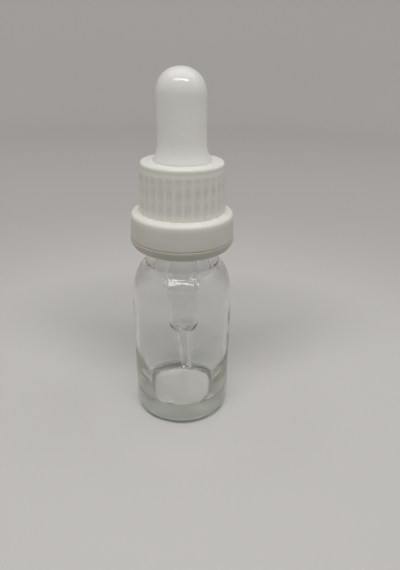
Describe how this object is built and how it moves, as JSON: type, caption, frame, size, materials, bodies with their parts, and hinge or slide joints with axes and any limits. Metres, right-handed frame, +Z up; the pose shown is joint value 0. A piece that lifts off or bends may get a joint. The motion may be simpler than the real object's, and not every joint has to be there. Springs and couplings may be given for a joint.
{
  "type": "glass dropper bottle",
  "caption": "Small clear glass bottle with a white fluted screw cap, tear-off ring, rubber squeeze bulb and a glass pipette that reaches down to the base.",
  "frame": {"origin": "centre of the flat ring that the bottle stands on, at the level of the table", "axes": "+Z up along the bottle's axis, +X to the right in the picture, which is the way the pipette's tip bends, +Y away from the camera"},
  "size_m": [0.025, 0.025, 0.0856],
  "materials": {
    "bottle_glass": "clear moulded soda-lime glass, faintly grey-green where it is thick",
    "ring_plastic": "white moulded polypropylene, satin",
    "cap_plastic": "white moulded polypropylene, satin, slightly translucent",
    "bulb_rubber": "white soft rubber, satin",
    "pipette_glass": "clear drawn glass tube"
  },
  "bodies": {
    "bottle": {"glass_bottle": "bottle_glass"},
    "ring": {"tamper_ring": "ring_plastic"},
    "dropper": {"glass_pipette": "pipette_glass"},
    "cap": {"screw_cap": "cap_plastic"},
    "bulb": {"rubber_bulb": "bulb_rubber"}
  },
  "joints": [
    {"name": "ring_spin", "type": "hinge", "parent": "bottle", "child": "ring", "pos_m": [0, 0, 0.0472], "axis": [0, 0, 1], "continuous": true},
    {"name": "dropper_lift", "type": "slide", "parent": "bottle", "child": "dropper", "axis": [0, 0, 1], "range_m": [0, 0.07]},
    {"name": "cap_turn", "type": "hinge", "parent": "dropper", "child": "cap", "pos_m": [0, 0, 0.0576], "axis": [0, 0, 1], "range_deg": [0, 360]},
    {"name": "bulb_squeeze", "type": "slide", "parent": "dropper", "child": "bulb", "axis": [0, 0, -1], "range_m": [0, 0.006], "stiffness_N_per_m": 500, "deforming": ["rubber_bulb"]}
  ]
}
